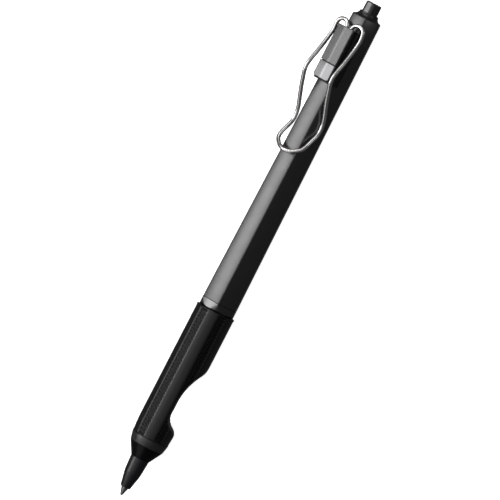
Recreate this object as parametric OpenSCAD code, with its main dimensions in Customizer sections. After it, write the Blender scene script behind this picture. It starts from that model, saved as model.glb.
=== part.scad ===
// Retractable gel pen with a tapered hexagonal barrel, a bent wire clip and a grip with two finger recesses.
// Every sub-part is drawn along its own axis, Z, with z = 0 at the end of the writing ball and the clip
// towards +Y. lay_down() then lays the pen along X: tip at -X, push button at +X, clip on the +Z side.

/* [Overall] */
// Length from the writing ball to the top of the button, tip out
pen_length = 146.6; // [145.6:0.1:148]

/* [Barrel] */
// Station of the barrel's front end, where it meets the front collar
barrel_front = 57.4; // [57.4:0.1:58]
// Station of the barrel's rear end
barrel_rear = 142.3; // [142.2:0.1:142.4]
// Distance from the axis to a corner of the barrel at its front end
corner_front = 5.45; // [5.3:0.05:5.6]
// Distance from the axis to a corner of the barrel at its rear end
corner_rear = 4.5; // [4.4:0.05:4.7]
// Radius of the bore that holds the click mechanism
barrel_bore = 3.3; // [3.3:0.05:3.4]
// Height of the flared collar around the button
rear_collar_height = 1.4; // [1.2:0.1:1.8]

/* [Grip] */
// Outer radius of the rubber grip
grip_radius = 5.5; // [5.4:0.05:5.8]
// Radius of the grip where it meets the front ring
grip_nose_radius = 5.2; // [5:0.05:5.25]
// Distance from the axis to the floor of each finger recess
recess_floor = 2; // [2:0.1:3]
// Number of finger recesses
recess_count = 2; // [1:1:2]

/* [Nose] */
// Radius of the nozzle at its front end
nozzle_tip_radius = 1.4; // [1.36:0.02:1.5]
// Radius of the nozzle where it leaves the cone
nozzle_base_radius = 2.6; // [2.5:0.05:2.7]
// Radius of the cone where it meets the front ring
cone_radius = 4.7; // [4.5:0.05:4.8]

/* [Clip] */
// Diameter of the clip wire
wire_diameter = 1.15; // [0.9:0.05:1.2]
// Distance from the pen's middle plane to each outer leg of the wire
leg_offset = 4.6; // [4.5:0.1:4.8]
// Width of the cover plate
plate_width = 5.2; // [4.8:0.1:5.4]
// Height of the cover plate's top above the axis
plate_top = 7.35; // [7.3:0.05:7.6]

/* [Refill] */
// Diameter of the writing ball
ball_diameter = 0.5; // [0.4:0.05:0.6]
// Outer radius of the refill tube
tube_radius = 1.5; // [1.4:0.02:1.52]
// Length of the ink column
ink_length = 69; // [20:1:80]

/* [Click mechanism] */
// Radius of the button's round edges
button_radius = 2.25; // [2.2:0.05:2.3]
// Distance from the axis to each of the button's six flats
button_flat = 2.13; // [2.05:0.01:2.2]
// Number of teeth on the plunger's crown
tooth_count = 8; // [6:1:8]
// Number of coils in the return spring
spring_coils = 8; // [5:1:9]

/* [Hidden] */
$fn = 96;

overlap = 0.01;             // how far a cutting shape runs past the face it opens
fit = 0.05;                 // radial clearance of the sliding fits
hex_sides = 6;
facet_ratio = 0.878;        // distance from the axis to a flat, as a share of the rounded corner's radius
rim_chamfer = 0.35;

// stations along the axis, counted from the end of the writing ball
nozzle_front = 2.4;
nozzle_rear = 11.05;
ring_front = 14.8;
grip_front = 17;
grip_rear = barrel_front - 2.3;
core_step = 40;
thread_end = barrel_front + 6;
socket_end = barrel_front + 7;
spring_front = 8;
spring_rear = 18.4;
tube_front = 20.5;
tube_rear = 118;
refill_rear = tube_rear + 1.5;
sleeve_front = 118.5;
rib_front = 126.5;
sleeve_rear = 134.2;
collar_spigot_front = 138;
flange_front = 135.5;
flange_rear = 136.5;
crown_station = 127;
plate_front = 122.9;
plate_step = 127.5;
plate_rear = 138;
base_front = 122.4;
pocket_front = 133;

// radii inside the pen
core_radius = 1.85;
core_bore = 1.6;
core_rear_radius = 3.2;
core_rear_bore = 2.6;
socket_radius = 3.6;
spigot_radius = 2.2;
guide_bore = 2;             // bore of the cam sleeve between its grooves
groove_radius = 2.55;
groove_width = 0.85;
groove_count = 4;
fin_radius = 2.45;
fin_width = 0.7;
flange_radius = 2.8;
tube_bore = 1.05;
tip_radius = 1;
holder_radius = 1.15;
holder_collar_radius = 1.45;
channel_radius = 0.5;
shank_radius = 0.8;
spring_wire = 0.28;
spring_mean_radius = 1.36;

// finger recess: two hollow arcs that meet the floor and two round edges that run into them
rear_edge_radius = 8;
rear_edge_station = 41.5;
rear_hollow_station = 28.5;
front_edge_radius = 2.8;
front_edge_station = 19.3;
front_hollow_radius = 4;
recess_top = grip_radius + 2;

// clip: the block under the plate, its pocket for the wire ends and the skirt on the barrel's flats
skirt_thickness = 0.5;
skirt_width = 6.7;
skirt_floor = 2.5;
pocket_width = 2.8;
pocket_floor = 4.85;
pocket_top = 6.5;
tongue_width = 2;
tongue_length = 6;
tongue_floor = barrel_bore + 0.05;
cap_corner_radius = 0.6;

// half of the clip wire's route, from its end under the plate to the middle of the front loop:
// distance from the middle plane, height above the axis, station
wire_route = [
    [0.75, 5.5, 133.5], [0.75, 5.5, 135.5], [0.75, 5.5, 137.6],
    [1.2, 5.5, 139], [2.6, 5.4, 139.6], [4.1, 5.2, 139],
    [leg_offset, 5.1, 137.6], [leg_offset, 4.9, 136], [leg_offset, 5.2, 134.4], [leg_offset, 5.9, 132],
    [leg_offset, 6.9, 129.2], [leg_offset, 8, 126.6], [leg_offset, 8.6, 124.6],
    [leg_offset, 8.4, 123], [leg_offset, 7.6, 121.3], [leg_offset, 6.2, 118.6], [leg_offset, 4.6, 116],
    [leg_offset, 3, 113.4], [leg_offset, 2.3, 111.4], [leg_offset, 2.2, 109.8], [leg_offset, 2.7, 108.4],
    [leg_offset, 3.6, 107], [leg_offset, 4.5, 105.5],
    [4.4, 5.1, 104.3], [3.8, 5.6, 103.4], [2.2, 6.3, 102.3], [0, 6.7, 101.8]
];
route_steps = 3;
wire_sides = 14;
spring_sides = 8;
spring_steps = 24;

// ---------- shared shapes ----------

module lay_down() {
    translate([-pen_length / 2, 0, grip_radius]) rotate([90, 0, 90]) children();
}

function corner_radius(station) =
    corner_front + (corner_rear - corner_front) * (station - barrel_front) / (barrel_rear - barrel_front);

// a cylinder between two stations
module round_bar(radius, from, to) {
    translate([0, 0, from]) cylinder(h = to - from, r = radius);
}

// everything outside six flats that lean inwards from the barrel's front to its rear
module outside_of_flats(reach) {
    length = barrel_rear - barrel_front;
    lean = atan(facet_ratio * (corner_front - corner_rear) / length);
    for (side = [0 : hex_sides - 1])
        rotate(30 + 360 / hex_sides * side)
            translate([facet_ratio * corner_front + reach, -2 * corner_front, barrel_front])
                rotate([0, -lean, 0])
                    translate([0, 0, -10]) cube([corner_front, 4 * corner_front, length + 20]);
}

// the barrel's outer shape with no bore; reach moves its surface outwards
module barrel_solid(reach = 0) {
    difference() {
        rotate_extrude()
            polygon([
                [0, barrel_front], [corner_front + reach, barrel_front],
                [corner_radius(barrel_rear - rim_chamfer) + reach, barrel_rear - rim_chamfer],
                [corner_rear - rim_chamfer + reach, barrel_rear], [0, barrel_rear]
            ]);
        outside_of_flats(reach);
    }
}

// a box centred on the middle plane, between two heights and two stations
module plate_box(width, low, high, from, to) {
    translate([-width / 2, low, from]) cube([width, high - low, to - from]);
}

function unit(v) = v / norm(v);

function tangent(path, i) = unit(path[min(i + 1, len(path) - 1)] - path[max(i - 1, 0)]);

function spline_point(a, b, c, d, f) =
    0.5 * (2 * b + (c - a) * f + (2 * a - 5 * b + 4 * c - d) * f * f + (3 * b - a - 3 * c + d) * f * f * f);

// a smooth curve through every point of a route
function spline(route, steps) = concat(
    [for (i = [0 : len(route) - 2])
        for (j = [0 : steps - 1])
            spline_point(route[max(i - 1, 0)], route[i], route[i + 1], route[min(i + 2, len(route) - 1)],
                         j / steps)],
    [route[len(route) - 1]]
);

function wire_ring(path, i, radius, up, sides) =
    let (along = tangent(path, i), across = unit(up - (up * along) * along), third = cross(along, across))
    [for (k = [0 : sides - 1])
        path[i] + radius * (cos(360 * k / sides) * across + sin(360 * k / sides) * third)];

// a round wire along a path; up is any direction that the path never runs along
module swept_wire(path, radius, up, sides) {
    last = len(path) - 1;
    points = [for (i = [0 : last]) each wire_ring(path, i, radius, up, sides)];
    skin = [
        for (i = [0 : last - 1])
            for (k = [0 : sides - 1])
                let (a = i * sides + k, b = i * sides + (k + 1) % sides)
                each [[a, a + sides, b + sides], [a, b + sides, b]]
    ];
    front_end = [for (k = [0 : sides - 1]) k];
    rear_end = [for (k = [0 : sides - 1]) (last + 1) * sides - 1 - k];
    polyhedron(points, concat(skin, [front_end, rear_end]), convexity = 10);
}

// ---------- barrel and its fixed parts ----------

module barrel() {
    color("dimgray")
        difference() {
            barrel_solid();
            round_bar(barrel_bore, barrel_front - 1, barrel_rear + 1);
            round_bar(socket_radius, barrel_front - 1, socket_end);
            clip_tongue();
        }
}

// flared ring at the barrel's rear end that guides the button
module rear_collar() {
    top = barrel_rear + rear_collar_height;
    top_radius = 2.65;
    foot_radius = 3.6;
    spread = foot_radius - top_radius;
    flare = (spread * spread + rear_collar_height * rear_collar_height) / (2 * spread);
    color("dimgray")
        difference() {
            union() {
                rotate_extrude()
                    difference() {
                        translate([0, barrel_rear]) square([foot_radius, rear_collar_height]);
                        translate([top_radius + flare, top]) circle(r = flare);
                    }
                round_bar(barrel_bore, collar_spigot_front, barrel_rear);
            }
            round_bar(flange_radius + 2 * fit, collar_spigot_front - 1, barrel_rear - 0.15);
            round_bar(button_radius + 2 * fit, barrel_rear - 1, top + 1);
        }
}

// flat bars through the axis, as long as the grooves or fins they make
module cross_bars(width, radius, from, to) {
    intersection() {
        round_bar(radius, from, to);
        for (turn = [0 : groove_count / 2 - 1])
            rotate(360 / groove_count * turn)
                plate_box(2 * radius + 1, -width / 2, width / 2, from, to);
    }
}

// guide tube of the click mechanism, with lengthwise grooves in its rear part
module cam_sleeve() {
    color("ivory")
        difference() {
            round_bar(barrel_bore, sleeve_front, sleeve_rear);
            round_bar(groove_radius, sleeve_front - 1, rib_front);
            round_bar(guide_bore, rib_front - overlap, sleeve_rear + 1);
            cross_bars(groove_width, groove_radius, rib_front - overlap, sleeve_rear + 1);
        }
}

// ---------- clip ----------

// tongue under the clip base that locks into the barrel's wall
module clip_tongue() {
    middle = (base_front + plate_rear) / 2;
    plate_box(tongue_width, tongue_floor, pocket_floor - 0.5,
              middle - tongue_length / 2, middle + tongue_length / 2);
}

// black block that carries the plate, with a thin skirt wrapped over the two next flats
module clip_base() {
    color("black")
        union() {
            difference() {
                union() {
                    plate_box(plate_width - 0.3, tongue_floor, pocket_top, base_front, plate_rear - 0.2);
                    intersection() {
                        barrel_solid(skirt_thickness);
                        plate_box(skirt_width, skirt_floor, pocket_floor, base_front, plate_rear - 0.2);
                    }
                }
                barrel_solid();
                plate_box(pocket_width, pocket_floor, pocket_top + 1, pocket_front, plate_rear + 1);
            }
            clip_tongue();
        }
}

module clip_cover_plate() {
    color("slategray")
        plate_box(plate_width, pocket_top, plate_top, plate_step, plate_rear);
}

// short front part of the cover, with rounded front corners
module clip_end_cap() {
    gap = 0.12;
    height = plate_top - pocket_top;
    color("silver")
        translate([0, plate_top, 0]) rotate([90, 0, 0])
            linear_extrude(height)
                union() {
                    translate([-plate_width / 2, plate_front + cap_corner_radius])
                        square([plate_width, plate_step - gap - plate_front - cap_corner_radius]);
                    translate([cap_corner_radius - plate_width / 2, plate_front])
                        square([plate_width - 2 * cap_corner_radius, 2 * cap_corner_radius]);
                    for (side = [-1, 1])
                        translate([side * (plate_width / 2 - cap_corner_radius),
                                   plate_front + cap_corner_radius])
                            circle(r = cap_corner_radius);
                }
}

// one length of spring wire: both ends under the plate, two hooks, two legs and the front loop
module clip_wire() {
    half = spline(concat(wire_route, [for (i = [1, 2]) mirrored(wire_route[len(wire_route) - 1 - i])]),
                  route_steps);
    right = [for (i = [0 : (len(wire_route) - 1) * route_steps]) half[i]];
    left = [for (i = [1 : len(right) - 1]) mirrored(right[len(right) - 1 - i])];
    color("silver")
        swept_wire(concat(right, left), wire_diameter / 2, [0, 1, 0], wire_sides);
}

function mirrored(p) = [-p[0], p[1], p[2]];

// ---------- front section ----------

module nozzle() {
    swell = 0.3;
    middle = (nozzle_front + nozzle_rear) / 2;
    middle_radius = (nozzle_tip_radius + nozzle_base_radius) / 2 + swell;
    color("dimgray")
        difference() {
            rotate_extrude()
                polygon([
                    [0, nozzle_front], [nozzle_tip_radius, nozzle_front], [middle_radius, middle],
                    [nozzle_base_radius, nozzle_rear], [spigot_radius, nozzle_rear],
                    [spigot_radius, grip_front + 0.5], [0, grip_front + 0.5]
                ]);
            round_bar(tip_radius + 2 * fit, nozzle_front - 1, spring_front);
            round_bar(holder_radius + fit, spring_front - 1.2, spring_front + 1);
            round_bar(core_bore, spring_front, grip_front + 1);
        }
}

module nose_cone() {
    color("black")
        difference() {
            translate([0, 0, nozzle_rear])
                cylinder(h = ring_front - nozzle_rear, r1 = nozzle_base_radius, r2 = cone_radius);
            round_bar(spigot_radius, nozzle_rear - 1, ring_front + 1);
        }
}

module front_ring() {
    color("gray")
        difference() {
            translate([0, 0, ring_front])
                cylinder(h = grip_front - ring_front, r1 = cone_radius, r2 = grip_nose_radius);
            round_bar(spigot_radius, ring_front - 1, grip_front + 1);
        }
}

// outline of one finger recess: x is the station, y the distance from the axis
module recess_outline() {
    rear_edge_y = grip_radius - rear_edge_radius;
    rear_run = rear_edge_station - rear_hollow_station;
    rear_drop = grip_radius - recess_floor;
    rear_hollow_radius = rear_run * rear_run / (2 * rear_drop) - rear_edge_radius + rear_drop / 2;
    rear_share = rear_edge_radius / (rear_edge_radius + rear_hollow_radius);
    rear_join = rear_edge_station - rear_run * rear_share;
    front_edge_y = grip_radius - front_edge_radius;
    front_run = sqrt(rear_drop * (2 * (front_edge_radius + front_hollow_radius) - rear_drop));
    front_hollow_station = front_edge_station + front_run;
    front_join = front_edge_station
        + front_run * front_edge_radius / (front_edge_radius + front_hollow_radius);

    // floor between the two hollows
    translate([front_hollow_station, recess_floor])
        square([rear_hollow_station - front_hollow_station, recess_top - recess_floor]);
    // rear hollow
    intersection() {
        translate([rear_hollow_station, recess_floor + rear_hollow_radius]) circle(r = rear_hollow_radius);
        translate([rear_hollow_station, 0]) square([rear_join - rear_hollow_station, recess_top]);
    }
    // front hollow and the room above it
    intersection() {
        union() {
            translate([front_hollow_station, recess_floor + front_hollow_radius])
                circle(r = front_hollow_radius);
            translate([front_join, recess_floor + front_hollow_radius])
                square([front_hollow_station, recess_top]);
        }
        translate([front_join, 0]) square([front_hollow_station - front_join, recess_top]);
    }
    // round rear edge
    difference() {
        translate([rear_join, 0]) square([rear_edge_station - rear_join, recess_top]);
        translate([rear_edge_station, rear_edge_y]) circle(r = rear_edge_radius);
    }
    // round front edge
    difference() {
        translate([front_edge_station, 0]) square([front_join - front_edge_station, recess_top]);
        translate([front_edge_station, front_edge_y]) circle(r = front_edge_radius);
    }
}

// the recesses lie on the flats at 120 degrees to either side of the clip
module finger_recesses() {
    for (i = [1 : recess_count])
        rotate(90 + 120 * i)
            rotate([-90, 0, 0]) rotate([0, 0, -90])
                linear_extrude(4 * grip_radius, center = true) recess_outline();
}

module grip() {
    nose_length = 6;
    mid_nose_drop = 0.1;
    rear_round = 0.3;
    color("black")
        difference() {
            rotate_extrude()
                polygon([
                    [0, grip_front], [grip_nose_radius, grip_front],
                    [grip_radius - mid_nose_drop, grip_front + nose_length / 2],
                    [grip_radius, grip_front + nose_length],
                    [grip_radius, grip_rear - rear_round], [grip_radius - rear_round, grip_rear],
                    [0, grip_rear]
                ]);
            round_bar(spigot_radius, grip_front - 1, grip_front + 0.5);
            round_bar(core_radius, grip_front, core_step);
            round_bar(core_rear_radius, core_step, grip_rear + 1);
            finger_recesses();
        }
}

// tube inside the grip, with the spigot that screws into the barrel
module grip_core() {
    seal_front = barrel_front + 0.6;
    color("dimgray")
        difference() {
            union() {
                round_bar(core_radius, grip_front + 0.5, core_step);
                round_bar(core_rear_radius, core_step, barrel_front);
                round_bar(socket_radius - fit, barrel_front, thread_end);
            }
            round_bar(core_bore, grip_front, thread_end + 1);
            round_bar(core_rear_bore, core_step + 1, thread_end + 1);
            difference() {
                round_bar(socket_radius + 1, seal_front, seal_front + 0.6);
                round_bar(socket_radius - 0.55, seal_front - 1, seal_front + 2);
            }
        }
}

// short hexagonal ring whose flats run out into a rounded front edge
module front_collar() {
    height = barrel_front - grip_rear;
    nose_inset = 0.85;
    round_over = (height * height + nose_inset * nose_inset) / (2 * nose_inset);
    color("silver")
        difference() {
            intersection() {
                rotate_extrude()
                    intersection() {
                        translate([0, grip_rear]) square([corner_front, height]);
                        translate([corner_front - round_over, barrel_front]) circle(r = round_over);
                    }
                translate([0, 0, grip_rear])
                    cylinder(h = height, r = corner_front * facet_ratio / cos(180 / hex_sides),
                             $fn = hex_sides);
            }
            round_bar(core_rear_radius, grip_rear - 1, barrel_front + 1);
        }
}

module o_ring() {
    section = 0.23;
    color("black")
        translate([0, 0, barrel_front + 0.9])
            rotate_extrude()
                translate([socket_radius - 0.04 - section, 0]) circle(r = section);
}

// ---------- click mechanism ----------

module push_button() {
    top_chamfer = 0.3;
    color("black")
        difference() {
            rotate_extrude()
                polygon([
                    [0, flange_front], [flange_radius, flange_front], [flange_radius, flange_rear],
                    [button_radius, flange_rear], [button_radius, pen_length - top_chamfer],
                    [button_radius - top_chamfer, pen_length], [0, pen_length]
                ]);
            for (side = [0 : hex_sides - 1])
                rotate(30 + 360 / hex_sides * side)
                    translate([button_flat, -button_radius, flange_rear])
                        cube([button_radius, 2 * button_radius, pen_length]);
        }
}

// a ring of wedges that point along +Z, each across the tube's wall
module crown(width, height) {
    for (i = [0 : tooth_count - 1])
        rotate(360 / tooth_count * i)
            rotate([90, 0, 90])
                linear_extrude(core_radius + 1)
                    polygon([[-width / 2, 0], [width / 2, 0], [0, height]]);
}

// tube under the button, with ribs in the sleeve's grooves and a toothed front end
module plunger() {
    color("ivory")
        difference() {
            union() {
                round_bar(guide_bore - 2 * fit, crown_station, flange_front);
                cross_bars(fin_width, fin_radius, crown_station + 1, flange_front - 1);
            }
            round_bar(1.1, crown_station - 1, flange_front - 1);
            translate([0, 0, crown_station - overlap]) crown(1.2, 0.7);
        }
}

// cam that carries the refill's end, with fins in line with the sleeve's grooves
module cam_rotor() {
    fin_front = 121.4;
    fin_rear = rib_front - 0.3;
    top = crown_station - 0.15;
    color("ivory")
        difference() {
            union() {
                round_bar(1.45, refill_rear, fin_front);
                round_bar(core_radius, fin_front, top);
                cross_bars(fin_width, fin_radius, fin_front, fin_rear);
                intersection() {
                    translate([0, 0, top - overlap]) crown(0.9, 0.5);
                    round_bar(core_radius, top - 1, top + 1);
                }
            }
            round_bar(1.1, refill_rear + 2, top + 1);
        }
}

// ---------- refill ----------

module ball() {
    color("silver") translate([0, 0, ball_diameter / 2]) sphere(d = ball_diameter);
}

module tip_cone() {
    lip = 0.13;
    cone_end = 2.4;
    shank_end = spring_front + 2;
    color("silver")
        difference() {
            union() {
                translate([0, 0, lip])
                    cylinder(h = cone_end - lip, r1 = ball_diameter / 2 + 0.06, r2 = tip_radius);
                round_bar(tip_radius, cone_end, spring_front);
                round_bar(shank_radius, spring_front, shank_end);
            }
            translate([0, 0, ball_diameter / 2]) sphere(d = ball_diameter + 0.04);
            round_bar(ball_diameter / 2 - 0.05, ball_diameter / 2, shank_end + 1);
        }
}

module tip_holder() {
    collar_front = tube_front - 2;
    color("white")
        difference() {
            union() {
                round_bar(holder_radius, spring_front, collar_front);
                round_bar(holder_collar_radius, collar_front, tube_front);
                round_bar(tube_bore, tube_front, tube_front + 5.5);
            }
            round_bar(shank_radius, spring_front - 1, spring_front + 2);
            round_bar(channel_radius, spring_front, tube_front + 6.5);
        }
}

module refill_tube() {
    color("whitesmoke")
        difference() {
            round_bar(tube_radius, tube_front, tube_rear);
            round_bar(tube_bore, tube_front - 1, tube_rear + 1);
        }
}

module gel_ink() {
    ink_front = tube_front + 5.5;
    color("black") round_bar(tube_bore, ink_front, ink_front + ink_length);
}

module ink_follower() {
    ink_rear = tube_front + 5.5 + ink_length;
    color("khaki") round_bar(tube_bore, ink_rear, ink_rear + 6);
}

module refill_plug() {
    vent_radius = 0.3;
    color("white")
        difference() {
            union() {
                round_bar(tube_bore, tube_rear - 3, tube_rear);
                round_bar(tube_radius, tube_rear, refill_rear);
            }
            round_bar(vent_radius, tube_rear - 4, refill_rear + 1);
        }
}

module return_spring() {
    low = spring_front + spring_wire / 2 + 0.02;
    high = spring_rear - spring_wire / 2;
    count = spring_coils * spring_steps;
    helix = [
        for (i = [0 : count])
            [spring_mean_radius * cos(360 * i / spring_steps),
             spring_mean_radius * sin(360 * i / spring_steps),
             low + (high - low) * i / count]
    ];
    color("silver") swept_wire(helix, spring_wire / 2, [0, 0, 1], spring_sides);
}

// ---------- the pen ----------

lay_down() barrel();
lay_down() rear_collar();
lay_down() cam_sleeve();
lay_down() clip_base();
lay_down() clip_cover_plate();
lay_down() clip_end_cap();
lay_down() clip_wire();
lay_down() nozzle();
lay_down() nose_cone();
lay_down() front_ring();
lay_down() grip();
lay_down() grip_core();
lay_down() front_collar();
lay_down() o_ring();
lay_down() push_button();
lay_down() plunger();
lay_down() cam_rotor();
lay_down() ball();
lay_down() tip_cone();
lay_down() tip_holder();
lay_down() refill_tube();
lay_down() gel_ink();
lay_down() ink_follower();
lay_down() refill_plug();
lay_down() return_spring();
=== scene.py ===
"""Looks, light and camera for the retractable gel pen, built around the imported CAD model.

Lengths are in metres in the model's own frame: the pen lies along X with its writing tip at -X, its push
button at +X and its clip on the +Z side. Sections are lists of (y, z) points round the pen's axis.
"""

import math

import bmesh
import bpy
from mathutils import Matrix, Vector


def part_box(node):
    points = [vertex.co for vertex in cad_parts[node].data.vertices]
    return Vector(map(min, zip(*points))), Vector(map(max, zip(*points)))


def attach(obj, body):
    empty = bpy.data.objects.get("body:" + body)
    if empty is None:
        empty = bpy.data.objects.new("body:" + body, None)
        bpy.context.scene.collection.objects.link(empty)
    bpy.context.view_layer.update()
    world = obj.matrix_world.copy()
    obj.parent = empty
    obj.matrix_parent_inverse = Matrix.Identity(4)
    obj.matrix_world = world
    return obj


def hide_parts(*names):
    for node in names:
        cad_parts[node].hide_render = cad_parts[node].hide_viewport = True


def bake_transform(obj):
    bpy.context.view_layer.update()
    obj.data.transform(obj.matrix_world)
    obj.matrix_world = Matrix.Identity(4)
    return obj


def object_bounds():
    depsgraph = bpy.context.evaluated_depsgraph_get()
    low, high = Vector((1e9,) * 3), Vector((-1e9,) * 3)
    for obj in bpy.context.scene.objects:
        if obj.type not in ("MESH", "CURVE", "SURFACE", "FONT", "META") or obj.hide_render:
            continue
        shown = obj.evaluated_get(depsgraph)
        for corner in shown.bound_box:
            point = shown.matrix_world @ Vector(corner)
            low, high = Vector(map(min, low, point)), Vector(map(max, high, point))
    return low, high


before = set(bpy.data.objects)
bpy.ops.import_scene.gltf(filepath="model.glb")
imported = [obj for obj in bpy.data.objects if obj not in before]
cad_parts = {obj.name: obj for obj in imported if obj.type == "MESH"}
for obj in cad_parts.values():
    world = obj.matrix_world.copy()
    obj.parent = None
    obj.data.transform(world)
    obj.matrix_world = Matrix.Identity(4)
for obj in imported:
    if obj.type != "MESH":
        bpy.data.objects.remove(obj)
cad_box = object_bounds()

MM = 0.001
TIP_X = cad_box[0].x
AXIS_Z = sum(corner.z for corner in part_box("nozzle")) / 2

# stations along the pen in millimetres, counted from the end of the writing ball
NOZZLE_FRONT = 2.4
HOLDER_POCKET_FRONT = 6.8
SPRING_FRONT = 8.0
NOZZLE_REAR = 11.05
RING_FRONT = 14.8
GRIP_FRONT = 17.0
SPIGOT_REAR = 17.5
SPRING_REAR = 18.4
CORE_STEP = 40.0
GRIP_REAR = 55.1
BARREL_FRONT = 57.4
SOCKET_END = 64.4
PLATE_FRONT = 122.9
PLATE_STEP = 127.38
COVER_FRONT = 127.56
FLANGE_FRONT = 135.5
FLANGE_REAR = 136.5
PLATE_REAR = 138.0
BARREL_REAR = 142.3
PEN_END = 146.6

# radii in millimetres
NOZZLE_TIP_RADIUS = 1.4
NOZZLE_BASE_RADIUS = 2.6
NOZZLE_SWELL = 0.3
CONE_RADIUS = 4.7
GRIP_NOSE_RADIUS = 5.2
GRIP_RADIUS = 5.5
CORNER_FRONT = 5.45
CORNER_REAR = 4.5
CORNER_ROUND = 0.5
COLLAR_NOSE_RADIUS = 4.55
FLAT_RATIO = 0.9     # distance from the axis to a flat, as a share of the distance to a corner
SOCKET_RADIUS = 3.6
BORE_RADIUS = 3.3
SPIGOT_RADIUS = 2.2
CORE_RADIUS = 1.85
CORE_BORE = 1.6
HOLDER_BORE = 1.2
TIP_BORE = 1.1
CORE_REAR_RADIUS = 3.2
BUTTON_RADIUS = 2.25
BUTTON_FLAT = 2.13
FLANGE_RADIUS = 2.8
PLATE_WIDTH = 5.2
PLATE_TOP = 7.35
PLATE_UNDERSIDE = 6.5

HEX_SIDES = 6
ROUND_STEPS = 96
SHARP_EDGE = math.radians(55)


# ---------- mesh helpers ----------

def x_at(station):
    """The X of a station given in millimetres from the end of the ball."""
    return TIP_X + station * MM


def build_mesh(name, verts, faces, material):
    """A smooth-shaded mesh object with outward faces and sharp creases where its faces meet steeply."""
    mesh = bpy.data.meshes.new(name)
    mesh.from_pydata([tuple(v) for v in verts], [], faces)
    bm = bmesh.new()
    bm.from_mesh(mesh)
    bmesh.ops.recalc_face_normals(bm, faces=bm.faces)
    bm.to_mesh(mesh)
    bm.free()
    mesh.shade_smooth()
    mesh.set_sharp_from_angle(angle=SHARP_EDGE)
    mesh.materials.append(material)
    piece = bpy.data.objects.new(name, mesh)
    bpy.context.collection.objects.link(piece)
    return piece


def add_piece(name, verts, faces, material, body, slot, *replaced):
    """Makes a piece that rides on a body and stands for the CAD nodes named last."""
    piece = build_mesh(name, verts, faces, material)
    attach(piece, body)
    if replaced:
        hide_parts(*replaced)
    return piece


def circle_section(radius):
    """A circle round the pen's axis, in millimetres."""
    return [
        (radius * math.sin(math.tau * i / ROUND_STEPS), radius * math.cos(math.tau * i / ROUND_STEPS))
        for i in range(ROUND_STEPS)
    ]


def turned(point, turn):
    """A (y, z) point turned round the pen's axis."""
    y, z = point
    return (y * math.cos(turn) + z * math.sin(turn), z * math.cos(turn) - y * math.sin(turn))


def off_flat(turn):
    """The angle from the middle of the nearest of the pen's six sides."""
    step = math.tau / HEX_SIDES
    return (turn + step / 2) % step - step / 2


def smooth_step(f):
    """Rises from 0 to 1 with a soft start and end."""
    f = min(1.0, max(0.0, f))
    return f * f * (3 - 2 * f)


def smooth_least(a, b, blend=0.25):
    """The smaller of two values, with the corner between them rounded."""
    f = max(0.0, blend - abs(a - b)) / blend
    return min(a, b) - f * f * blend * 0.25


def hex_section(flat, corner_round, crown=6.5):
    """A hexagon with rounded corners, in millimetres. Its flats bulge: their ends lean by crown degrees."""
    crown = math.radians(crown)
    slope = math.tan(math.pi / HEX_SIDES)
    k = slope * math.cos(crown) - math.sin(crown)
    flat_round = (slope * flat - k * corner_round) / (slope - k)
    points = []
    flat_steps, corner_steps = 9, 7
    for side in range(HEX_SIDES):
        turn = math.tau * side / HEX_SIDES
        arcs = []
        for i in range(flat_steps):
            lean = crown * (2 * i / (flat_steps - 1) - 1)
            y = flat_round * math.sin(lean)
            z = flat - flat_round + flat_round * math.cos(lean)
            arcs.append((y, z))
        centre_y = (flat_round - corner_round) * math.sin(crown)
        centre_z = flat - flat_round + (flat_round - corner_round) * math.cos(crown)
        sweep = math.tau / HEX_SIDES - 2 * crown
        for i in range(1, corner_steps + 1):
            lean = crown + sweep * i / (corner_steps + 1)
            y = centre_y + corner_round * math.sin(lean)
            z = centre_z + corner_round * math.cos(lean)
            arcs.append((y, z))
        points += [turned(point, turn) for point in arcs]
    return points


def limited(section, radius):
    """A section whose points come no further from the axis than radius."""
    out = []
    for y, z in section:
        reach = math.hypot(y, z)
        share = min(1.0, radius / reach)
        out.append((y * share, z * share))
    return out


def on_circle(section, radius):
    """A section's points moved in or out onto a circle, so that a hexagon can be skinned to a round bore."""
    return [(radius * y / math.hypot(y, z), radius * z / math.hypot(y, z)) for y, z in section]


def ring_faces(rings, count, closed):
    """Quads between rings of count points each. closed joins the last ring to the first."""
    faces = []
    for i in range(rings if closed else rings - 1):
        a, b = i * count, (i + 1) % rings * count
        for j in range(count):
            k = (j + 1) % count
            faces.append((a + j, a + k, b + k, b + j))
    return faces


def end_faces(rings, count):
    """The two polygons that close an open run of rings."""
    return [tuple(range(count)), tuple(range(rings * count - 1, (rings - 1) * count - 1, -1))]


def loft(name, rows, material, body, slot, *replaced, closed=True):
    """Skins rows of (station, section). closed joins the last row to the first, as in a tube's wall."""
    count = len(rows[0][1])
    verts = [(x_at(station), y * MM, AXIS_Z + z * MM) for station, section in rows for y, z in section]
    faces = ring_faces(len(rows), count, closed)
    if not closed:
        faces += end_faces(len(rows), count)
    return add_piece(name, verts, faces, material, body, slot, *replaced)


def rounded_rows(profile, fillet, shape=circle_section, steps=4):
    """Rows for loft() from a closed outline of (station, radius), with every corner rounded by fillet."""
    rows = []
    count = len(profile)
    for i, point in enumerate(profile):
        here = Vector(point)
        before = Vector(profile[i - 1]) - here
        after = Vector(profile[(i + 1) % count]) - here
        reach = min(fillet, before.length * 0.4, after.length * 0.4)
        start = here + before.normalized() * reach
        end = here + after.normalized() * reach
        for step in range(steps + 1):
            f = step / steps
            at = start * (1 - f) ** 2 + here * 2 * f * (1 - f) + end * f ** 2
            rows.append((at.x, shape(at.y)))
    return rows


# ---------- materials ----------

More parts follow.
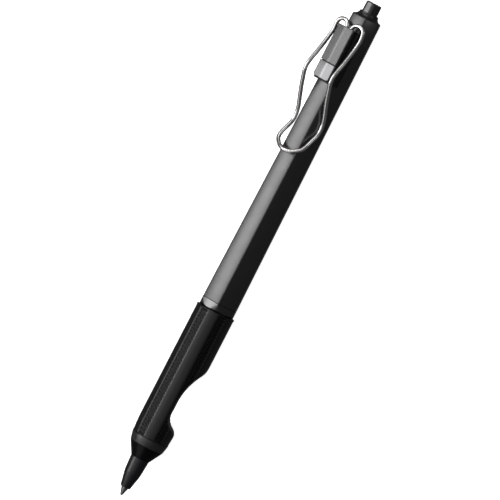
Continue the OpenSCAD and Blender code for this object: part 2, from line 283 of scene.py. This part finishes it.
def surface(name, color, roughness, metallic=0.0, specular=0.5, grain=900.0, stretch=(1, 1, 1),
            tone=0.12, rough_spread=0.06, bump=0.02, bump_depth=0.00002, coat=0.0, coat_roughness=0.1):
    """A worn-in surface: its tone and roughness drift a little, and a fine grain roughens it."""
    made = bpy.data.materials.new(name)
    made.use_nodes = True
    nodes, links = made.node_tree.nodes, made.node_tree.links
    shader = nodes["Principled BSDF"]
    shader.inputs["Metallic"].default_value = metallic
    shader.inputs["Specular IOR Level"].default_value = specular
    shader.inputs["Coat Weight"].default_value = coat
    shader.inputs["Coat Roughness"].default_value = coat_roughness
    where = nodes.new("ShaderNodeTexCoord")
    scaled = nodes.new("ShaderNodeMapping")
    scaled.inputs["Scale"].default_value = stretch
    links.new(where.outputs["Object"], scaled.inputs["Vector"])

    def noise(scale, detail):
        node = nodes.new("ShaderNodeTexNoise")
        node.inputs["Scale"].default_value = scale
        node.inputs["Detail"].default_value = detail
        links.new(scaled.outputs["Vector"], node.inputs["Vector"])
        return node.outputs["Fac"]

    tint = nodes.new("ShaderNodeMix")
    tint.data_type = "RGBA"
    tint.inputs["A"].default_value = (*[c * (1 - tone) for c in color], 1)
    tint.inputs["B"].default_value = (*[min(1.0, c * (1 + tone)) for c in color], 1)
    links.new(noise(grain * 0.25, 4), tint.inputs["Factor"])
    links.new(tint.outputs["Result"], shader.inputs["Base Color"])
    spread = nodes.new("ShaderNodeMapRange")
    spread.inputs["To Min"].default_value = roughness - rough_spread
    spread.inputs["To Max"].default_value = roughness + rough_spread
    links.new(noise(grain * 0.5, 3), spread.inputs["Value"])
    links.new(spread.outputs["Result"], shader.inputs["Roughness"])
    relief = nodes.new("ShaderNodeBump")
    relief.inputs["Strength"].default_value = bump
    relief.inputs["Distance"].default_value = bump_depth
    links.new(noise(grain * 4, 2), relief.inputs["Height"])
    links.new(relief.outputs["Normal"], shader.inputs["Normal"])
    return made


BRUSHED = (0.08, 1, 1)
LACQUER = surface("barrel_lacquer", (0.014, 0.0135, 0.014), 0.3, specular=1.0, bump=0.25)
COLLAR = surface("collar_metal", (0.13, 0.128, 0.13), 0.28, metallic=1.0, bump=0.2)
SATIN_COVER = surface("cover_metal", (0.022, 0.021, 0.024), 0.27, specular=1.0, stretch=BRUSHED, bump=0.05)
SATIN_CAP = surface("cap_metal", (0.18, 0.178, 0.182), 0.28, metallic=1.0, stretch=BRUSHED, bump=0.05)
CHROME = surface("wire_chrome", (0.74, 0.73, 0.72), 0.26, metallic=1.0, tone=0.05, rough_spread=0.04,
                 bump=0.1)
MATTE_BLACK = surface("clip_block", (0.008, 0.008, 0.009), 0.5, specular=0.3, bump=0.4)
REAR_TRIM = surface("rear_trim", (0.012, 0.012, 0.013), 0.35, specular=0.6, bump=0.25)
BUTTON = surface("button_plastic", (0.008, 0.008, 0.009), 0.3, specular=1.0, bump=0.25)
NOZZLE = surface("nozzle_metal", (0.010, 0.010, 0.012), 0.33, specular=0.5, bump=0.2)
CONE = surface("cone_gloss", (0.003, 0.003, 0.004), 0.3, specular=0.15, bump=0.1)
RING = surface("ring_metal", (0.02, 0.02, 0.021), 0.34, metallic=0.1, specular=0.9, bump=0.25)
RUBBER = surface("grip_rubber", (0.005, 0.0048, 0.005), 0.32, specular=0.6, bump=0.5, bump_depth=0.00004)
# Painted shade: the hatched strips get a slightly darker, less shiny copy of the grip rubber, standing in
# for the shade inside their grooves.
HATCH_SHADE_RUBBER = surface("hatched_rubber_painted_shade", (0.004, 0.0038, 0.004), 0.42, specular=0.3, bump=0.5,
                         bump_depth=0.00004)
TIP_METAL = surface("tip_metal", (0.35, 0.34, 0.33), 0.25, metallic=1.0, bump=0.1)
BALL_METAL = surface("ball_metal", (0.6, 0.6, 0.6), 0.15, metallic=1.0, bump=0.05)
IVORY = surface("inner_plastic", (0.62, 0.6, 0.54), 0.45, bump=0.3)
CORE = surface("core_plastic", (0.03, 0.03, 0.032), 0.45, bump=0.3)
SEAL = surface("seal_rubber", (0.015, 0.015, 0.015), 0.55, bump=0.4)
MILKY = surface("holder_plastic", (0.7, 0.7, 0.68), 0.4, bump=0.2)
TUBE = surface("tube_plastic", (0.6, 0.62, 0.62), 0.25, bump=0.1)
INK = surface("ink_black", (0.01, 0.01, 0.012), 0.15, bump=0.1)
FOLLOWER = surface("follower_grease", (0.6, 0.5, 0.25), 0.2, bump=0.1)
SPRING = surface("spring_steel", (0.45, 0.45, 0.45), 0.3, metallic=1.0, bump=0.2)

KEPT_NODES = {
    "clip_base": MATTE_BLACK,
    "cam_sleeve": IVORY,
    "plunger": IVORY,
    "cam_rotor": IVORY,
    "grip_core": CORE,
    "o_ring": SEAL,
    "ball": BALL_METAL,
    "tip_cone": TIP_METAL,
    "tip_holder": MILKY,
    "refill_plug": MILKY,
    "refill_tube": TUBE,
    "gel_ink": INK,
    "ink_follower": FOLLOWER,
    "rear_collar": REAR_TRIM,
}


def repaint_kept_nodes():
    """Gives the CAD pieces that are shown as they are their materials."""
    for node, material in KEPT_NODES.items():
        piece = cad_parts[node]
        piece.data.materials.clear()
        piece.data.materials.append(material)


# ---------- pieces ----------

def corner_at(station):
    """Distance from the axis to the barrel's corners at a station."""
    share = (station - BARREL_FRONT) / (BARREL_REAR - BARREL_FRONT)
    return CORNER_FRONT + (CORNER_REAR - CORNER_FRONT) * share


def make_barrel():
    """Tapered hexagonal tube with crowned flats, soft corners, a small rear chamfer and its bore."""
    rim = 0.35
    edge = 0.15
    steps = 12

    def outer(station, inset):
        return hex_section(FLAT_RATIO * corner_at(station) - inset, CORNER_ROUND)

    front = outer(BARREL_FRONT, edge * 0.8)
    rows = [(BARREL_FRONT, front), (BARREL_FRONT + edge / 3, outer(BARREL_FRONT, edge / 5))]
    for i in range(steps + 1):
        station = BARREL_FRONT + edge + (BARREL_REAR - rim - BARREL_FRONT - edge) * i / steps
        rows.append((station, outer(station, 0)))
    rows.append((BARREL_REAR - rim * 0.4, outer(BARREL_REAR, 0.1)))
    rows.append((BARREL_REAR, outer(BARREL_REAR, rim)))
    for station, radius in ((BARREL_REAR, BORE_RADIUS), (SOCKET_END, BORE_RADIUS),
                            (SOCKET_END, SOCKET_RADIUS), (BARREL_FRONT, SOCKET_RADIUS)):
        rows.append((station, on_circle(front, radius)))
    loft("barrel_shell", rows, LACQUER, "barrel", "barrel_lacquer", "barrel")


def make_front_collar():
    """Hexagonal collar: its flats run out in arcs towards the rounded front edge."""
    edge = 0.1
    steps = 14
    hexagon = hex_section(FLAT_RATIO * CORNER_FRONT, CORNER_ROUND)
    height = BARREL_FRONT - GRIP_REAR
    rows = []
    for i in range(steps + 1):
        f = i / steps
        station = GRIP_REAR + height * f
        reach = COLLAR_NOSE_RADIUS + (CORNER_FRONT - COLLAR_NOSE_RADIUS) * math.sqrt(1 - (1 - f) ** 2)
        rows.append((station, limited(hexagon, reach)))
    rows[-1] = (BARREL_FRONT - edge * 0.6, hexagon)
    rows.append((BARREL_FRONT, hex_section(FLAT_RATIO * CORNER_FRONT - edge, CORNER_ROUND)))
    inner = on_circle(hexagon, CORE_REAR_RADIUS)
    rows.append((BARREL_FRONT, inner))
    rows.append((GRIP_REAR, inner))
    loft("hex_front_collar", rows, COLLAR, "front", "collar_metal", "front_collar")


def button_section(inset):
    """A circle with six shallow flats, in line with the barrel's flats."""
    points = []
    for i in range(ROUND_STEPS):
        turn = math.tau * i / ROUND_STEPS
        reach = smooth_least(BUTTON_RADIUS, BUTTON_FLAT / math.cos(off_flat(turn)), 0.04) - inset
        points.append((reach * math.sin(turn), reach * math.cos(turn)))
    return points


def make_button():
    """Round button with six flats and a broken top edge, and the flange that keeps it in the barrel."""
    top_round = 0.3
    steps = 5
    rows = [(FLANGE_REAR, button_section(0))]
    for i in range(steps + 1):
        lean = math.pi / 2 * i / steps
        station = PEN_END - top_round * (1 - math.sin(lean))
        rows.append((station, button_section(top_round * (1 - math.cos(lean)))))
    loft("button_shaft", rows, BUTTON, "knock", "button_plastic", closed=False)
    inner = 1.0
    flange = [(FLANGE_FRONT, inner), (FLANGE_FRONT, FLANGE_RADIUS), (FLANGE_REAR, FLANGE_RADIUS),
              (FLANGE_REAR, inner)]
    loft("button_flange", rounded_rows(flange, 0.1), BUTTON, "knock", "button_plastic", "push_button")


def make_nose():
    """Nozzle, cone and ring, turned parts with slightly broken edges."""
    middle = (NOZZLE_FRONT + NOZZLE_REAR) / 2
    middle_radius = (NOZZLE_TIP_RADIUS + NOZZLE_BASE_RADIUS) / 2 + NOZZLE_SWELL
    nozzle = [
        (NOZZLE_FRONT, TIP_BORE), (NOZZLE_FRONT, NOZZLE_TIP_RADIUS), (middle, middle_radius),
        (NOZZLE_REAR, NOZZLE_BASE_RADIUS),
        (NOZZLE_REAR, SPIGOT_RADIUS), (SPIGOT_REAR, SPIGOT_RADIUS), (SPIGOT_REAR, CORE_BORE),
        (SPRING_FRONT, CORE_BORE), (SPRING_FRONT, HOLDER_BORE), (HOLDER_POCKET_FRONT, HOLDER_BORE),
        (HOLDER_POCKET_FRONT, TIP_BORE)
    ]
    loft("nozzle_sleeve", rounded_rows(nozzle, 0.12), NOZZLE, "front", "nozzle_metal", "nozzle")
    cone = [(NOZZLE_REAR, SPIGOT_RADIUS), (NOZZLE_REAR, NOZZLE_BASE_RADIUS), (RING_FRONT, CONE_RADIUS),
            (RING_FRONT, SPIGOT_RADIUS)]
    loft("black_cone", rounded_rows(cone, 0.15), CONE, "front", "cone_gloss", "nose_cone")
    ring = [(RING_FRONT, SPIGOT_RADIUS), (RING_FRONT, CONE_RADIUS), (GRIP_FRONT, GRIP_NOSE_RADIUS),
            (GRIP_FRONT, SPIGOT_RADIUS)]
    loft("satin_ring", rounded_rows(ring, 0.12), RING, "front", "ring_metal", "front_ring")


# ---------- grip ----------

HATCH_PITCH = 0.9
HATCH_DEPTH = 0.28
HATCH_RUN = 1.1          # how far a stroke moves towards the tip across one strip
STRIP_HALF = math.radians(12)
STRIP_SINK = 0.1
SHOULDER = math.radians(3)   # the strip's sides slope over this far to either side of STRIP_HALF
RECESS_FLOOR = 2.0
RECESS_TURNS = (math.radians(120), math.radians(240))


def recess_height(station):
    """Distance from the axis to a finger recess's floor: two hollow arcs between two round edges."""
    front_edge, front_edge_r = 19.3, 2.8
    rear_edge, rear_edge_r = 41.5, 8.0
    drop = GRIP_RADIUS - RECESS_FLOOR
    front_hollow_r = 4.0
    front_run = math.sqrt(drop * (2 * (front_edge_r + front_hollow_r) - drop))
    front_hollow = front_edge + front_run
    rear_hollow = 28.5
    rear_run = rear_edge - rear_hollow
    rear_hollow_r = rear_run ** 2 / (2 * drop) - rear_edge_r + drop / 2
    front_join = front_edge + front_run * front_edge_r / (front_edge_r + front_hollow_r)
    rear_join = rear_edge - rear_run * rear_edge_r / (rear_edge_r + rear_hollow_r)
    if station <= front_edge or station >= rear_edge:
        return 2 * GRIP_RADIUS
    if station < front_join:
        return GRIP_RADIUS - front_edge_r + math.sqrt(front_edge_r ** 2 - (station - front_edge) ** 2)
    if station < front_hollow:
        return RECESS_FLOOR + front_hollow_r - math.sqrt(front_hollow_r ** 2 - (front_hollow - station) ** 2)
    if station < rear_hollow:
        return RECESS_FLOOR
    if station < rear_join:
        return RECESS_FLOOR + rear_hollow_r - math.sqrt(rear_hollow_r ** 2 - (station - rear_hollow) ** 2)
    return GRIP_RADIUS - rear_edge_r + math.sqrt(rear_edge_r ** 2 - (rear_edge - station) ** 2)


def grip_outline(station):
    """The grip's radius away from the recesses."""
    nose_length = 6.0
    f = min(1.0, (station - GRIP_FRONT) / nose_length)
    return GRIP_NOSE_RADIUS + (GRIP_RADIUS - GRIP_NOSE_RADIUS) * (1 - (1 - f) ** 2)


def stroke_shift(off):
    """How far a row of the grip's mesh is shifted along the pen, at an angle from a strip's middle."""
    if abs(off) <= STRIP_HALF:
        return off / STRIP_HALF * HATCH_RUN / 2
    half_step = math.pi / HEX_SIDES
    return math.copysign(HATCH_RUN / 2, off) * (half_step - abs(off)) / (half_step - STRIP_HALF)


def strip_depth(off, base, edge):
    """Depth of a strip and its hatching below the lands; edge is the distance to the nearer end."""
    plain_end = 0.3
    fade = 0.4
    sink = STRIP_SINK * smooth_step((STRIP_HALF + SHOULDER - abs(off)) / (2 * SHOULDER))
    side_fade = smooth_step((STRIP_HALF - abs(off)) / SHOULDER)
    wave = 0.5 - 0.5 * math.cos(math.tau * base / HATCH_PITCH)
    return (sink + HATCH_DEPTH * wave * side_fade) * smooth_step((edge - plain_end) / fade)


def grip_turns():
    """Angles of the grip's mesh columns, closest together across the strips and their shoulders."""
    strip_cols, land_cols = 14, 10
    land = math.tau / HEX_SIDES - 2 * (STRIP_HALF + SHOULDER)
    strip = 2 * (STRIP_HALF + SHOULDER)
    turns = []
    for side in range(HEX_SIDES):
        start = side * math.tau / HEX_SIDES - strip / 2
        turns += [start + strip * i / strip_cols for i in range(strip_cols)]
        turns += [start + strip + land * i / land_cols for i in range(land_cols)]
    return turns


def grip_surface(turn, base):
    """Station and radius of a point on the grip; base is the station before the strokes' slant."""
    end_round = 0.25
    slant_fade = 2.5
    off = off_flat(turn)
    edge = min(base - GRIP_FRONT, GRIP_REAR - base)
    station = base + stroke_shift(off) * smooth_step(edge / slant_fade)
    radius = grip_outline(station)
    for recess in RECESS_TURNS:
        lean = math.cos(turn - recess)
        if lean > 0.2:      # the recess's plane would lie far outside the rest of the grip
            radius = smooth_least(radius, recess_height(station) / lean)
    radius -= strip_depth(off, base, edge)
    if edge < end_round:
        radius -= end_round - math.sqrt(end_round ** 2 - (end_round - edge) ** 2)
    return station, radius


def make_grip():
    """Rubber sleeve: hatched strips between smooth lands, two finger recesses and rounded ends."""
    turns = grip_turns()
    length = GRIP_REAR - GRIP_FRONT
    row_count = int(length / HATCH_PITCH * 8)
    rows = []
    for i in range(row_count + 1):
        base = GRIP_FRONT + length * i / row_count
        rows.append([grip_surface(turn, base) for turn in turns])
    for station, radius in ((GRIP_REAR, CORE_REAR_RADIUS), (CORE_STEP, CORE_REAR_RADIUS),
                            (CORE_STEP, CORE_RADIUS), (SPIGOT_REAR, CORE_RADIUS),
                            (SPIGOT_REAR, SPIGOT_RADIUS), (GRIP_FRONT, SPIGOT_RADIUS)):
        rows.append([(station, radius)] * len(turns))
    verts = [
        (x_at(station), radius * MM * math.sin(turn), AXIS_Z + radius * MM * math.cos(turn))
        for row in rows for turn, (station, radius) in zip(turns, row)
    ]
    faces = ring_faces(len(rows), len(turns), True)
    grip = add_piece("rubber_grip", verts, faces, RUBBER, "front", "grip_rubber", "grip")
    # The strip faces take the darker rubber, which paints the shade of their hatching.
    grip.data.materials.append(HATCH_SHADE_RUBBER)
    for i, face in enumerate(grip.data.polygons):
        row, column = divmod(i, len(turns))
        if row < row_count and abs(off_flat(turns[column])) < STRIP_HALF:
            face.material_index = 1


# ---------- clip ----------

WIRE_RADIUS = 0.575
LEG = 4.6
# half of the wire's route: distance from the middle plane, height above the axis, station
WIRE_ROUTE = [
    (0.75, 5.5, 133.5), (0.75, 5.5, 135.5), (0.75, 5.5, 137.6),
    (1.2, 5.5, 139), (2.6, 5.4, 139.6), (4.1, 5.2, 139),
    (LEG, 5.1, 137.6), (LEG, 4.9, 136), (LEG, 5.2, 134.4), (LEG, 5.9, 132),
    (LEG, 6.9, 129.2), (LEG, 8, 126.6), (LEG, 8.6, 124.6),
    (LEG, 8.4, 123), (LEG, 7.6, 121.3), (LEG, 6.2, 118.6), (LEG, 4.6, 116),
    (LEG, 3, 113.4), (LEG, 2.3, 111.4), (LEG, 2.2, 109.8), (LEG, 2.7, 108.4),
    (LEG, 3.6, 107), (LEG, 4.5, 105.5),
    (4.4, 5.1, 104.3), (3.8, 5.6, 103.4), (2.2, 6.3, 102.3), (0, 6.7, 101.8),
]


def spline(route, steps):
    """A smooth curve through every point of a route."""
    points = []
    last = len(route) - 1
    for i in range(last):
        a, b, c, d = (Vector(route[max(0, min(last, i + k))]) for k in (-1, 0, 1, 2))
        for j in range(steps):
            f = j / steps
            points.append(0.5 * (2 * b + (c - a) * f + (2 * a - 5 * b + 4 * c - d) * f ** 2
                                 + (3 * b - a - 3 * c + d) * f ** 3))
    points.append(Vector(route[-1]))
    return points


def sweep(path, radius, up, sides):
    """Vertices and faces of a round wire; up is any direction that its path never runs along."""
    verts = []
    for i, here in enumerate(path):
        along = (path[min(i + 1, len(path) - 1)] - path[max(i - 1, 0)]).normalized()
        across = (up - along * up.dot(along)).normalized()
        third = along.cross(across)
        for k in range(sides):
            angle = math.tau * k / sides
            verts.append(here + (across * math.cos(angle) + third * math.sin(angle)) * radius)
    return verts, ring_faces(len(path), sides, False) + end_faces(len(path), sides)


def make_clip_wire():
    """One bent spring wire."""
    sides, steps = 20, 6
    mirrored = [(-u, h, t) for u, h, t in reversed(WIRE_ROUTE[:-1])]
    path = [
        Vector((x_at(t), -u * MM, AXIS_Z + h * MM)) for u, h, t in spline(WIRE_ROUTE + mirrored, steps)
    ]
    verts, faces = sweep(path, WIRE_RADIUS * MM, Vector((0, 0, 1)), sides)
    add_piece("bent_clip_wire", verts, faces, CHROME, "clip", "wire_chrome", "clip_wire")


def make_spring():
    """Return spring, coiled between its front and rear seats and fixed in place."""
    wire, mean_radius, coils, coil_steps, sides = 0.14, 1.36, 8, 32, 10
    front, rear = SPRING_FRONT + wire + 0.02, SPRING_REAR - wire
    path = []
    for i in range(coils * coil_steps + 1):
        turn = math.tau * i / coil_steps
        station = front + (rear - front) * i / (coils * coil_steps)
        y, z = mean_radius * math.cos(turn), mean_radius * math.sin(turn)
        path.append(Vector((x_at(station), y * MM, AXIS_Z + z * MM)))
    verts, faces = sweep(path, wire * MM, Vector((1, 0, 0)), sides)
    spring = build_mesh("coiled_spring", verts, faces, SPRING)
    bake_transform(spring)
    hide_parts("return_spring")


def plate_section(half, top, edge=0.12, roof=math.radians(5)):
    """A plate's cross-section: flat underside, straight sides, round edges and a top with a soft ridge."""
    steps, top_steps = 5, 14
    reach = half - edge
    ridge = 0.25
    side_top = top - math.tan(roof) * (reach - ridge / 2)
    points = [(half, PLATE_UNDERSIDE)]
    for i in range(steps + 1):
        lean = math.pi / 2 * i / steps
        points.append((half - edge * (1 - math.cos(lean)), side_top - edge * (1 - math.sin(lean))))
    for i in range(1, top_steps):
        y = reach * (1 - 2 * i / top_steps)
        from_ridge = abs(y) - ridge / 2 if abs(y) > ridge else y * y / (2 * ridge)
        points.append((y, top - math.tan(roof) * from_ridge))
    points += [(-y, z) for y, z in reversed(points[:steps + 2])]
    return points


def make_plate(name, front, rear, corner, material, slot, node):
    """A plate with soft edges, rounded in plan at its front corners by corner."""
    edge = 0.1
    rows = []
    steps = 8
    for i in range(steps + 1):
        along = corner * (1 - math.cos(math.pi / 2 * i / steps))
        inset = corner - math.sqrt(corner ** 2 - (corner - along) ** 2)
        drop = edge * max(0.0, 1 - along / edge) ** 2
        rows.append((front + along, plate_section(PLATE_WIDTH / 2 - inset, PLATE_TOP - drop)))
    for inset, drop in ((edge, 0.0), (0.03, 0.03), (0.0, edge)):
        rows.append((rear - inset, plate_section(PLATE_WIDTH / 2 - drop / 2, PLATE_TOP - drop)))
    return loft(name, rows, material, "barrel", slot, node, closed=False)


# ---------- stage ----------

VIEW_ANGLE = math.radians(33)       # how far the camera leans from the clip's normal, towards -Y
VIEW_TILT = 0.07                    # how far it leans towards the button
PEN_TURN = math.radians(27.3)       # how far the pen leans from upright in the picture
VIEW_DISTANCE = 2.5
VIEW_WIDTH = 0.1322                 # metres across the picture at the pen
VIEW_STATION = 73.6                 # station at the picture's middle
VIEW_SHIFT = 0.6                    # how far that middle lies beside the axis
SENSOR_WIDTH = 36


def place_camera():
    """Sets the photograph's viewing angle, with the pen leaning in the picture as it does there."""
    to_camera = Vector((VIEW_TILT, -math.sin(VIEW_ANGLE), math.cos(VIEW_ANGLE))).normalized()
    across = Vector((0, -math.cos(VIEW_ANGLE), -math.sin(VIEW_ANGLE)))
    along = Vector((1, 0, 0))
    along = (along - to_camera * along.dot(to_camera)).normalized()
    right = along * math.sin(PEN_TURN) + across * math.cos(PEN_TURN)
    up = along * math.cos(PEN_TURN) - across * math.sin(PEN_TURN)
    target = Vector((x_at(VIEW_STATION), 0, AXIS_Z)) + across * VIEW_SHIFT * MM
    camera = bpy.data.objects.new("camera", bpy.data.cameras.new("camera"))
    camera.data.sensor_width = SENSOR_WIDTH
    camera.data.lens = SENSOR_WIDTH * VIEW_DISTANCE / VIEW_WIDTH
    camera.data.clip_start = 0.01
    camera.data.clip_end = 10
    turn = Matrix((right, up, to_camera)).transposed().to_4x4()
    camera.matrix_world = Matrix.Translation(target + to_camera * VIEW_DISTANCE) @ turn
    bpy.context.collection.objects.link(camera)
    bpy.context.scene.camera = camera


# light panels: degrees from the zenith towards +Y, distance, length along X, half-width in degrees, radiance
SOFTBOXES = [
    ("key", 30.5, 0.6, 0.6, 8.5, 4.6),
    ("broad", 14, 0.85, 1.2, 34, 0.8),
    ("front", -37, 3.0, 3.0, 12, 0.35),
]
# smaller panels: centre, size in metres, radiance
END_PANELS = [
    ("button_end", (0.7, 0.1, 0.45), (0.5, 0.5), 1.6),
    ("tip_end", (-0.7, 0.1, 0.45), (0.5, 0.5), 0.8),
    ("rim", (0.5, -0.72, 0.13), (0.3, 0.24), 1.5),
]


FLOOR_GLOW = 0.95
SKY_STRENGTH = 0.07


def add_area_light(name, position, size, radiance):
    """A rectangular panel that faces the pen, as bright as radiance in a mirror."""
    light = bpy.data.lights.new(name, "AREA")
    light.shape = "RECTANGLE"
    light.size, light.size_y = size
    light.energy = radiance * math.pi * size[0] * size[1]
    lamp = bpy.data.objects.new(name, light)
    aim = Vector(position).normalized()
    lamp.matrix_world = Matrix.Translation(position) @ aim.to_track_quat("Z", "Y").to_matrix().to_4x4()
    bpy.context.collection.objects.link(lamp)


def add_softbox(name, lean, distance, length, half_width, radiance):
    """A panel above the pen, long along X, leaning from the zenith towards +Y."""
    position = (0, math.sin(lean) * distance, math.cos(lean) * distance)
    add_area_light(name, position, (length, 2 * distance * math.tan(half_width)), radiance)


def make_stage():
    """Pale floor, light panels and a dim even sky."""
    floor_mesh = bpy.data.meshes.new("floor")
    reach = 2.0
    floor_mesh.from_pydata([(-reach, -reach, 0), (reach, -reach, 0), (reach, reach, 0), (-reach, reach, 0)],
                           [], [(0, 1, 2, 3)])
    floor = bpy.data.objects.new("floor", floor_mesh)
    bpy.context.collection.objects.link(floor)
    pale = bpy.data.materials.new("pale_floor")
    pale.use_nodes = True
    shader = pale.node_tree.nodes["Principled BSDF"]
    shader.inputs["Base Color"].default_value = (0.85, 0.85, 0.85, 1)
    shader.inputs["Roughness"].default_value = 0.9
    shader.inputs["Specular IOR Level"].default_value = 0.0
    shader.inputs["Emission Color"].default_value = (1, 1, 1, 1)
    shader.inputs["Emission Strength"].default_value = FLOOR_GLOW
    floor_mesh.materials.append(pale)
    floor.visible_glossy = False
    floor.visible_diffuse = False
    for name, lean, distance, length, half_width, radiance in SOFTBOXES:
        add_softbox(name, math.radians(lean), distance, length, math.radians(half_width), radiance)
    for name, position, size, radiance in END_PANELS:
        add_area_light(name, position, size, radiance)
    world = bpy.data.worlds.new("soft_sky")
    world.use_nodes = True
    world.node_tree.nodes["Background"].inputs["Color"].default_value = (1, 1, 1, 1)
    world.node_tree.nodes["Background"].inputs["Strength"].default_value = SKY_STRENGTH
    bpy.context.scene.world = world
    bpy.context.scene.view_settings.view_transform = "Standard"


repaint_kept_nodes()
make_barrel()
make_front_collar()
make_button()
make_nose()
make_grip()
make_clip_wire()
make_spring()
make_plate("cover_plate", COVER_FRONT, PLATE_REAR, 0.15, SATIN_COVER, "cover_metal", "clip_cover_plate")
make_plate("plate_end_cap", PLATE_FRONT, PLATE_STEP, 0.6, SATIN_CAP, "cap_metal", "clip_end_cap")
make_stage()
place_camera()
